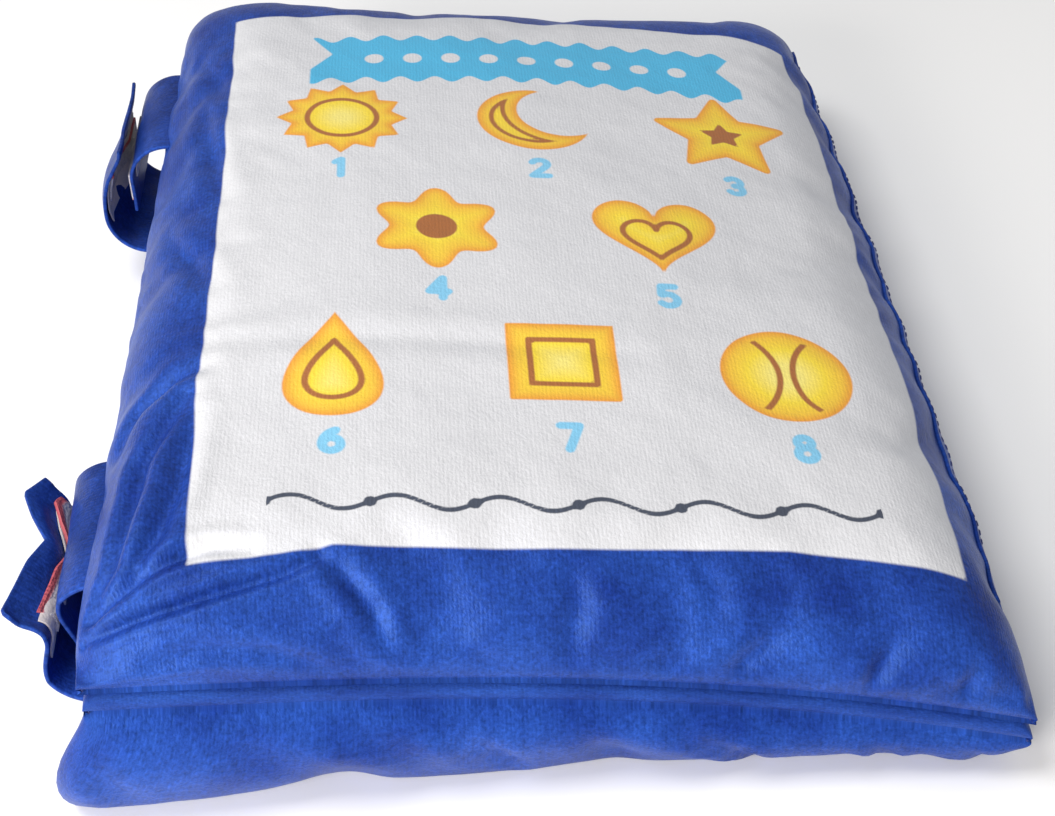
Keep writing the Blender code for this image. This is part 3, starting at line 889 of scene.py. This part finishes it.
# %% Creases of the back cover
# Each is a line in the cloth's own millimetres, with its width and depth.
BACK_CREASES = [
    # from the near strap's root to the page's corner, and a fan of softer folds above it
    (
        [(-117, -147), (-106.5, -147), (-88, -144.5), (-74.5, -141), (-63.5, -138), (-55, -134)],
        1.5,
        2.3,
    ),
    ([(-114, -142), (-104, -138), (-92, -133), (-82, -130.5), (-72, -131)], 1.9, 1.9),
    ([(-114, -140), (-107, -130), (-104, -112), (-102, -98), (-96, -86), (-91, -76)], 2.4, 2.1),
    ([(-112, -141), (-101, -134), (-95, -124), (-91, -108), (-89, -84)], 2.6, 1.9),
    ([(-114, -87), (-108, -75), (-97, -67), (-87, -66)], 3.0, 1.8),
    ([(-55, -133), (-49, -139), (-43, -147), (-40, -156)], 2.4, 1.6),
    ([(-96, -158), (-84, -156), (-70, -157), (-58, -161)], 2.6, 1.2),
    ([(6, -138), (8, -146), (5, -155)], 3.0, 0.9),
    ([(38, -134), (42, -142), (40, -150)], 3.0, 0.8),
    # short ticks that end at the near seam
    ([(44.5, -165), (48.5, -159), (55, -153)], 2.2, 1.2),
    ([(78, -164), (80.5, -158), (84, -152)], 2.0, 1.2),
    ([(101, -163), (103.5, -158), (105.5, -153)], 2.0, 1.1),
    # beside the far strap, and one faint fold across the page
    ([(-100, 64), (-94, 34), (-89, 11)], 3.0, 1.5),
    ([(-109, 4), (-98, -14.5), (-89, -32)], 3.2, 1.5),
    ([(-106, 98), (-99, 88), (-94, 70)], 3.0, 1.1),
    ([(-86, -58), (-36, -57), (-3, -60), (30, -62)], 4.0, 0.5),
]


def relief(uv, share, creases, seed):
    """Height of the cloth over the cushion: the stuffing's unevenness, slow and fine, and
    the creases."""
    u, v = uv[..., 0] / MM, uv[..., 1] / MM
    height = 0.55 * noise(u, v, 42, seed, 2) + 0.12 * noise(u, v, 9, seed + 7, 2)
    for line, width, depth in creases:
        height = height + crease(u, v, line, width, depth)
    return height * share


def unevenness(grid, x, y, seed):
    """How much the stuffing lifts an inner face off its level, 0 on the rim."""
    return 0.25 * (1 + noise(grid[..., 0], grid[..., 1], 24, seed)) * edge_share(x, y, 12)


back_share = edge_share(back_x, back_y, RELIEF_REACH)
back_moves = settle("back settling", back_outer, BACK_RADII, back_x, back_y, **BACK_SETTLING)
outer = outer_rest + back_moves * back_share[..., None]
outer += normals_of(outer_rest) * relief(back_uv, back_share, BACK_CREASES, 3)[..., None]
back_wall = outer[-24:]
inner = back_inner(back_x, back_y)
inner[..., 2] += unevenness(inner, back_x, back_y, 5)

# %% Back cover mesh
cover = page_distances(outer_rest[..., 0], outer_rest[..., 1])
page = inner_page_distances(inner[..., 0], inner[..., 1], -1, 1)
inks = {ink: (cover[ink], page[ink]) for ink in cover}
materials = [cover_print, blue_velour]
back_cover, back_seam_line = cushion(
    "back_cushion", outer, inner, back_uv, inks, True, materials, slots=(0, 0, 1)
)
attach(back_cover, "back_cover")
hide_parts("back_outer_panel", "back_inner_panel", "back_filling")
print("back cover quads:", len(back_cover.data.polygons))

# %% [markdown]
# ## The front cover, underneath
# It carries the other, so it is squashed: its outer face is flat on the table and its
# sides bulge past the upper cover. Its cloth is slack and folds into short wrinkles.

# %% Front cover
FRONT_CORNERS = [(-1, 1, 3.0, -4.0), (1, 1, -6.0, 0.5), (-1, -1, 2.0, 1.5), (1, -1, 4.5, -2.5)]
FLOOR_DRAW_IN = 4.0
FRONT_EARS = [(-1, -1, -17.0, -4.0), (1, -1, 0.0, 14.0)]
FRONT_RADII, FRONT_INNER_RADII = (8.0, 8.0, 8.0), (5.0, 5.0, 5.0)
FRONT_SHOULDERS = (24.0, 24.0, 24.0)  # where the grid lines are close
FRONT_SETTLING = {"pressure": 2.0, "slack": 0.04, "gain": 0.9, "calm": 1.0}
FORE_BULGE, END_BULGE, WALL_REACH = -1.0, 6.0, 13.0  # the spine's wall has no bulge


def front_outer(x, y):
    """The wall stands out from the seam by bulge sin(pi share) ** 0.8, each side by its own
    bulge, and its near corners spread into ears that grow towards the table."""
    level = lambda gx, gy: 0 * gx
    rim = lambda gx, gy: meeting(gx, gy) - FRONT_SEAM_DROP - GROOVE
    grid, share = face(x, y, rim, level, FRONT_RADII, FRONT_CORNERS)
    eared = face(x, y, rim, level, FRONT_RADII, FRONT_EARS, draw_in=FLOOR_DRAW_IN)[0]
    plain = face(x, y, rim, level, FRONT_RADII, [])[0]
    grid = grid + (eared - plain) * np.sin(share * math.pi / 2)[..., None] ** 1.5
    gx, gy = np.meshgrid(x, y, indexing="ij")
    inwards = (gx - x[0], x[-1] - gx, y[-1] - abs(gy))
    fore, spine, end = (1 - lift(distance, WALL_REACH, 2.0) for distance in inwards)
    bulge = (FORE_BULGE * fore + END_BULGE * end) / (fore + spine + end + 1e-9)
    grid = grid - normals_of(grid) * (bulge * np.sin(math.pi * share) ** 0.8)[..., None]
    grid[..., 2] = np.maximum(grid[..., 2], 0)
    return grid


def front_inner(x, y):
    level = lambda gx, gy: meeting(gx, gy) - LEAF_GAP
    rim = lambda gx, gy: meeting(gx, gy) - FRONT_SEAM_DROP + GROOVE
    return face(x, y, rim, level, FRONT_INNER_RADII, FRONT_CORNERS, power=2.4)[0]


FRONT_CELL = 1.6
front_half = HALF_DEPTH + OVERHANG
front_x = stations(FORE_EDGE_X, RIM_X, *FRONT_SHOULDERS[:2], FRONT_CELL)
front_y = stations(-front_half, front_half, *FRONT_SHOULDERS[1:], FRONT_CELL)
front_rest = front_outer(front_x, front_y)
front_uv = cloth_map(front_rest)
print("front cover grid:", front_rest.shape[:2])
FRONT_CREASES = [
    ([(-60, -181), (-52, -177), (-44, -174), (-36, -171)], 2.8, 2.2),
    ([(-33, -181), (-26, -176), (-18, -171), (-9, -163)], 2.2, 2.4),
    ([(-27, -172), (-23, -168), (-17, -164)], 1.8, 1.4),
    ([(-111, -172), (-105, -167), (-98, -161)], 2.4, 1.5),
    ([(24, -181), (34, -175), (45, -170), (53, -163)], 2.4, 2.6),
    ([(76, -181), (80, -176), (84, -168)], 2.2, 2.0),
    ([(90, -181), (86, -175), (82, -170)], 1.8, 1.4),
    ([(97, -181), (103, -176), (109, -170)], 2.4, 2.0),
    ([(0, -178), (10, -172), (20, -164)], 3.6, 1.4),
    ([(-87, -180), (-78, -175), (-63, -169)], 3.6, 1.5),
]
front_share = edge_share(front_x, front_y, RELIEF_REACH)
front_moves = settle(
    "front settling", front_outer, FRONT_SHOULDERS, front_x, front_y, **FRONT_SETTLING
)
outer = front_rest + front_moves * front_share[..., None]
outer -= normals_of(front_rest) * relief(front_uv, front_share, FRONT_CREASES, 11)[..., None]
outer[..., 2] = np.maximum(outer[..., 2], 0)
front_wall = outer[-16:]
inner = front_inner(front_x, front_y)
inner[..., 2] -= unevenness(inner, front_x, front_y, 6)

page = inner_page_distances(inner[..., 0], inner[..., 1], 1, 5)
inks = {ink: (np.full(outer.shape[:2], FAR_OFF), values) for ink, values in page.items()}
materials = [blue_velour, cover_print]
front_cover, front_seam_line = cushion(
    "front_cushion", outer, inner, front_uv, inks, False, materials, slots=(0, 1, 0)
)
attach(front_cover, "front_cover")
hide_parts("front_outer_panel", "front_inner_panel", "front_filling")
print("front cover quads:", len(front_cover.data.polygons))

# %% [markdown]
# ## Stitches
# The seam's thread shows as short dashes in the groove. Each stitch is a small capsule:
# a tube of six sides whose ends close to a point. One array holds all of them.

# %% Stitch maker
SEAM_STITCH, SPINE_STITCH = (3.2, 2.2, 0.32), (3.4, 2.2, 0.28)  # pitch, length and radius


def stitches(name, route, pitch, length, radius, material):
    """Capsules along a route, pitch apart, each following the route's direction."""
    along = lengths_along(route)
    starts = np.arange(0.5 * pitch, along[-1] - pitch * 0.5, pitch)
    at = lambda s: np.stack([np.interp(s, along, route[:, k]) for k in range(3)], -1)
    share = np.array([-0.5, -0.42, -0.2, 0.2, 0.42, 0.5])
    width = np.array([0.15, 0.75, 1, 1, 0.75, 0.15])
    line = at(starts[:, None] + length * share[None])
    ahead = unit(at(starts + 0.4 * length) - at(starts - 0.4 * length))
    side = unit(np.cross(ahead, (0, 0, 1)))
    up = np.cross(side, ahead)
    turn = angles(6)[:, None]
    rim = np.cos(turn) * side[:, None, None] + np.sin(turn) * up[:, None, None]
    points = line[:, :, None] + rim * radius * width[None, :, None, None]
    count, rings, sides = points.shape[:3]
    k = np.arange(sides)
    after = (k + 1) % sides
    tube = np.stack([k, after, after + sides, k + sides], -1)
    first = sides * (np.arange(count)[:, None] * rings + np.arange(rings - 1))
    made = new_piece(name, points, (tube + first[..., None, None]).reshape(-1, 4))
    made.data.materials.append(material)
    return made


thread, tree, shader = new_material("spun polyester thread, navy")
place = add(tree, "ShaderNodeTexCoord").outputs["Object"]
diagonal = {"wave_type": "BANDS", "bands_direction": "DIAGONAL"}
spun = {"Vector": place, "Scale": 900, "Distortion": 1.0}
twist = add(tree, "ShaderNodeTexWave", spun, **diagonal)
shade = mix(tree, twist.outputs["Fac"], linear("#18235c"), linear("#2a3a86"))
wire(tree, shader, {"Base Color": shade, "Roughness": 0.6})

for side, line in (("back", back_seam_line), ("front", front_seam_line)):
    route = np.concatenate([line, line[:1]])
    piece = stitches(f"{side}_seam_stitches", route, *SEAM_STITCH, thread)
    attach(piece, f"{side}_cover")
    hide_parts(f"{side}_seam_thread")
    print(piece.name, len(piece.data.polygons), "faces")

# %% [markdown]
# ## The spine
# One strip of velour wraps both covers' rims at the spine. On the book it bends on the fold line
# as the book opens; here it is one fixed shape, blended between the two covers' walls.

# %% Spine wrap
SPINE_LOW, SPINE_HIGH = 13.5, 37.5
SPINE_NEAR, SPINE_FAR = -135.0, 143.0
SPINE_OUTMOST, SPINE_HEM = 130.4, 3.0
GROOVE_FOOT, GROOVE_RISE = 22.5, 7.0  # the groove between the covers at the spine


def wall_x(wall, y, z):
    """Where a cover's wall stands at the spine, at one place along it and one height."""
    rows = wall[:, abs(wall[-1, :, 1] - y).argmin()]
    order = rows[:, 2].argsort()
    return np.interp(z, rows[order, 2], rows[order, 0])


@np.vectorize
def spine_x(y, z):
    """The wrap's outer face: close over both covers' walls, and straight across the groove."""
    share = np.clip((z - GROOVE_FOOT - seam_tilt(1, y / HALF_DEPTH)) / GROOVE_RISE, 0, 1)
    along = (1 - share) * wall_x(front_wall, y, z) + share * wall_x(back_wall, y, z)
    return min(along + 0.9, SPINE_OUTMOST)


spine_z = np.linspace(SPINE_LOW, SPINE_HIGH, 25)
spine_y = np.linspace(SPINE_NEAR, SPINE_FAR, 176)
gz, gy = np.meshgrid(spine_z, spine_y, indexing="ij")
ripple = 0.25 * noise(gy, gz, 18, 21) + 0.12 * noise(gy, gz, 6, 22)
fade = np.sin(np.pi * (gz - SPINE_LOW) / (SPINE_HIGH - SPINE_LOW)) ** 0.5
wrap = np.stack([blurred(spine_x(gy, gz), 2) + ripple * fade, gy, gz], -1)
spine = new_piece("spine_wrap", wrap, quads(*gz.shape)[:, ::-1], np.stack([gz, gy], -1) * MM)
spine.data.materials.append(blue_velour)
cloth = spine.modifiers.new("Cloth", "SOLIDIFY")
cloth.thickness, cloth.offset = 1.0 * MM, -1
settled(spine)
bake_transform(spine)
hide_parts("front_spine_band", "back_spine_band")
sewn_y = spine_y[(spine_y > -114) & (spine_y < 141)]  # clear of the corners
for side, z in (("front", SPINE_LOW + SPINE_HEM), ("back", SPINE_HIGH - SPINE_HEM)):
    route = np.stack([spine_x(sewn_y, z) + 0.12, sewn_y, z + 0 * sewn_y], -1)
    piece = stitches(f"{side}_spine_stitches", route, *SPINE_STITCH, thread)
    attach(piece, f"{side}_cover")
    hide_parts(f"{side}_spine_stitching")
print("spine wrap quads:", len(spine.data.polygons))

# %% [markdown]
# ## The straps
# An outer tab is sewn to the front cover's side and turns up; an inner tab comes out of
# the back cover's side and curls down inside it. Hook tape on one and loop tape on the
# other hold the book shut. Each is a band of cloth along a path of straight runs and arcs.

# %% Strap paths
STRAP_WIDTH, BAND_ROWS = 46.0, 34
STRAP_CENTRE = {"far": 91.5, "near": -103.5}
OUTER_X, INNER_X = -121.77, -116.77  # where each tab stands upright
OUTER_ROOT_X, OUTER_ROOT_Z, OUTER_RADIUS = -103.5, 16.0, 12.0
INNER_ROOT_X, INNER_ROOT_Z = -98.0, {"far": 51.0, "near": 48.0}
# how the cloth lies, by its place across the strap from the near edge to the far one:
# out is how far it stands off the plain path, reach is the share of its length it keeps
LIE = {
    "far": {
        "across": (-23, -14, -6, 6, 16, 23),
        "out": (5.0, 6.5, 5.5, 1.5, 1.0, 0.0),
        "reach": (0.98, 0.97, 0.96, 0.94, 0.95, 0.97),
        "crumpled": False,
    },
    "near": {
        "across": (-23, -21, -16, -10, -4, 5, 11, 17, 23),
        "out": (1.5, 2.0, 1.0, 0.0, -0.5, -1.5, -2.5, -3.5, -5.0),
        "reach": (0.95, 1.0, 0.97, 0.94, 0.91, 0.82, 0.93, 1.0, 0.9),
        "crumpled": True,
    },
}


def trace(x, z, heading, moves):
    """Points 1 mm apart: (length, 0) is a straight run, (radius, turn) an arc, left positive."""
    route = [(x, z)]
    for size, turn in moves:
        count = max(2, math.ceil(size * abs(turn) if turn else size))
        x, z = route[-1]
        t = np.arange(1, count + 1) / count
        if turn:
            side = math.copysign(1, turn)
            now = heading + turn * t
            px = x - side * size * math.sin(heading) + side * size * np.sin(now)
            pz = z + side * size * math.cos(heading) - side * size * np.cos(now)
            heading += turn
        else:
            px, pz = x + size * t * math.cos(heading), z + size * t * math.sin(heading)
        route += list(zip(px, pz))
    return np.array(route)


def outer_path(place):
    """The outer tab's path in x and z: out from the front cover's side, then up, and the
    near one leaning far out at its end."""
    run = OUTER_ROOT_X - OUTER_X - OUTER_RADIUS
    end = {"far": [(24.0, 0)], "near": [(2.5, 0), (8.0, math.radians(55)), (9.5, 0)]}[place]
    moves = [(run, 0), (OUTER_RADIUS, -math.pi / 2)] + end
    return trace(OUTER_ROOT_X, OUTER_ROOT_Z, math.pi, moves)


def inner_path(place):
    """The inner tab's path: out of the back cover's side, over and down inside the outer tab."""
    rise, root_z = math.radians(25), INNER_ROOT_Z[place]
    radius = (INNER_ROOT_X - INNER_X) / (1 + math.sin(rise))
    crest = root_z + radius * (1 - math.cos(rise))
    moves = [(radius, rise + math.pi / 2), (crest - radius - 27, 0)]
    return trace(INNER_ROOT_X, root_z, math.pi - rise, moves)


def beside(path, gap):
    """The path moved gap to its left, along its own normals."""
    ahead = unit(np.gradient(path, axis=0))
    return path + gap * np.stack([-ahead[:, 1], ahead[:, 0]], 1)


def band(name, path, middle, width, thickness, material, wobble, seed, start, lie, lean, skew):
    """Cloth along the path, width wide, wavering by wobble, thickened with rounded edges.
    Start says how far along the strap the path begins, so that both layers waver alike.
    Lie says how it stands off the path and where it ends, and lean how far its root is to
    the near side. Skew brings it nearer to the cover, most at its near edge."""
    rows = np.linspace(-width / 2, width / 2, BAND_ROWS)
    length = lengths_along(path)
    s, w = np.meshgrid(length, rows, indexing="ij")
    out = beside(path, 1.0) - path
    along = s + start
    away = wobble * noise(w, along, 16, seed, 2) * np.clip(along / 8, 0, 1)
    walked = s
    if lie is not None:
        stand, keep = (np.interp(w, lie["across"], lie[key]) for key in ("out", "reach"))
        walked = np.maximum(along * (1 + (keep - 1) * np.clip(along / 40, 0, 1) ** 2) - start, 0)
        if lie["crumpled"]:
            stand = stand + 1.2 * noise(w, along, 9, seed + 5, 2)
            away = away + stand * np.clip((along - 22) / 20, 0, 1) ** 1.4
        else:
            away = away + stand * np.sin(math.pi * np.clip((along - 5) / 41, 0, 1))
            away = away - 2.2 * np.clip((along - 38) / 10, 0, 1)
    at = lambda column: np.interp(walked, length, column)
    inward = skew * (1.5 - w / STRAP_WIDTH) * np.clip((along - 14) / 20, 0.2, 1)
    x = at(path[:, 0]) + at(out[:, 0]) * away + inward
    z = at(path[:, 1]) + at(out[:, 1]) * away
    y = middle + w - lean * np.clip(1.2 - along / 40, 0, 1)
    sheet = quads(len(path), len(rows))
    piece = new_piece(name, np.stack([x, y, z], -1), sheet, np.stack([w, s], -1) * MM)
    piece.data.materials.append(material)
    solid = piece.modifiers.new("Cloth", "SOLIDIFY")
    solid.thickness, solid.offset = thickness * MM, 0
    soft = piece.modifiers.new("Edge", "BEVEL")
    soft.width, soft.segments, soft.limit_method = thickness * 0.3 * MM, 2, "ANGLE"
    return settled(piece), length[-1]


# %% Strap materials
lining, tree, shader = new_material("brushed polyester knit, white")
cloth = cloth_uv(tree)
knit, stain = cloth_noise(tree, cloth, 1100, 2), cloth_noise(tree, cloth, 60, 2)
white = mix(tree, stain, linear("#d9d3cf"), linear("#c9bdb9"))
wire(tree, shader, {"Base Color": white, "Roughness": 0.85, "Sheen Weight": 0.3})
add_bump(tree, shader, knit, 0.4, 0.0004)

tape, tree, shader = new_material("woven nylon hook and loop tape, grey")
cloth = cloth_uv(tree)
hooks = add(tree, "ShaderNodeTexVoronoi", {"Vector": cloth, "Scale": 900, "Randomness": 0.55})
grey = mix(tree, cloth_noise(tree, cloth, 500, 3), linear("#d2d0d4"), linear("#aaa5ad"))
height = add(tree, "ShaderNodeSeparateXYZ", {"Vector": cloth}).outputs["Y"]
selvedge = spread(tree, height, 9.2 * MM, 10.2 * MM, 0, 1)
wire(tree, shader, {"Base Color": mix(tree, selvedge, grey, linear("#b5525a")), "Roughness": 0.65})
add_bump(tree, shader, hooks.outputs["Distance"], 0.8, 0.0006)

# %% Strap pieces
LINING_WIDTH, TAPE_WIDTH = STRAP_WIDTH - 6, 38.0
VELOUR_THICKNESS, LINING_THICKNESS, TAPE_THICKNESS = 1.2, 0.5, 0.9
TAPE_RUN = slice(27, 39)  # the points of either tab's path that the tapes cover
for place, middle in STRAP_CENTRE.items():
    seed, skew, root_lean = (40, 0.0, 7.0) if place == "far" else (60, 3.0, 9.0)
    outer_line, inner_line = outer_path(place), inner_path(place)
    body = f"{place}_outer_tab"
    for node, path, rides, side, wobble, lie in (
        (f"{place}_outer_tab", outer_line, body, -1, 0.35, LIE[place]),
        (f"{place}_inner_tab", inner_line, "back_cover", 1, 0.3, None),
    ):
        lean = root_lean if side < 0 else 0.0
        tab, length = band(
            f"{node}_velour", path, middle, STRAP_WIDTH, VELOUR_THICKNESS, strap_velour,
            wobble, seed, 0.0, lie, lean, skew,
        )
        # the white lining backs the tapes and stops short of the bend and the free end
        first, last = (22, -10) if side < 0 else (10, -12)
        skipped = lengths_along(path)[first]
        inside = beside(path, side * 1.0)[first:last]
        white_side, inner_length = band(
            f"{node}_white", inside, middle, LINING_WIDTH, LINING_THICKNESS, lining,
            wobble, seed, skipped, lie, lean - 3.0, skew,
        )
        for piece, target, wide, long in (
            (tab, node, STRAP_WIDTH, length),
            (white_side, f"{node}_lining", LINING_WIDTH, inner_length),
        ):
            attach(piece, rides)
            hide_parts(target)
    for part, rides, path, lie in (
        ("hook", body, beside(outer_line, -1.5), LIE[place]),
        ("loop", "back_cover", beside(inner_line, -1.4), None),
    ):
        piece, _ = band(
            f"{place}_{part}_strip", path[TAPE_RUN], middle, TAPE_WIDTH, TAPE_THICKNESS, tape,
            0.0, seed, TAPE_RUN.start, lie, 0.0, skew,
        )
        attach(piece, rides)
        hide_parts(f"{place}_{part}_tape")
print("strap pieces done for", list(STRAP_CENTRE))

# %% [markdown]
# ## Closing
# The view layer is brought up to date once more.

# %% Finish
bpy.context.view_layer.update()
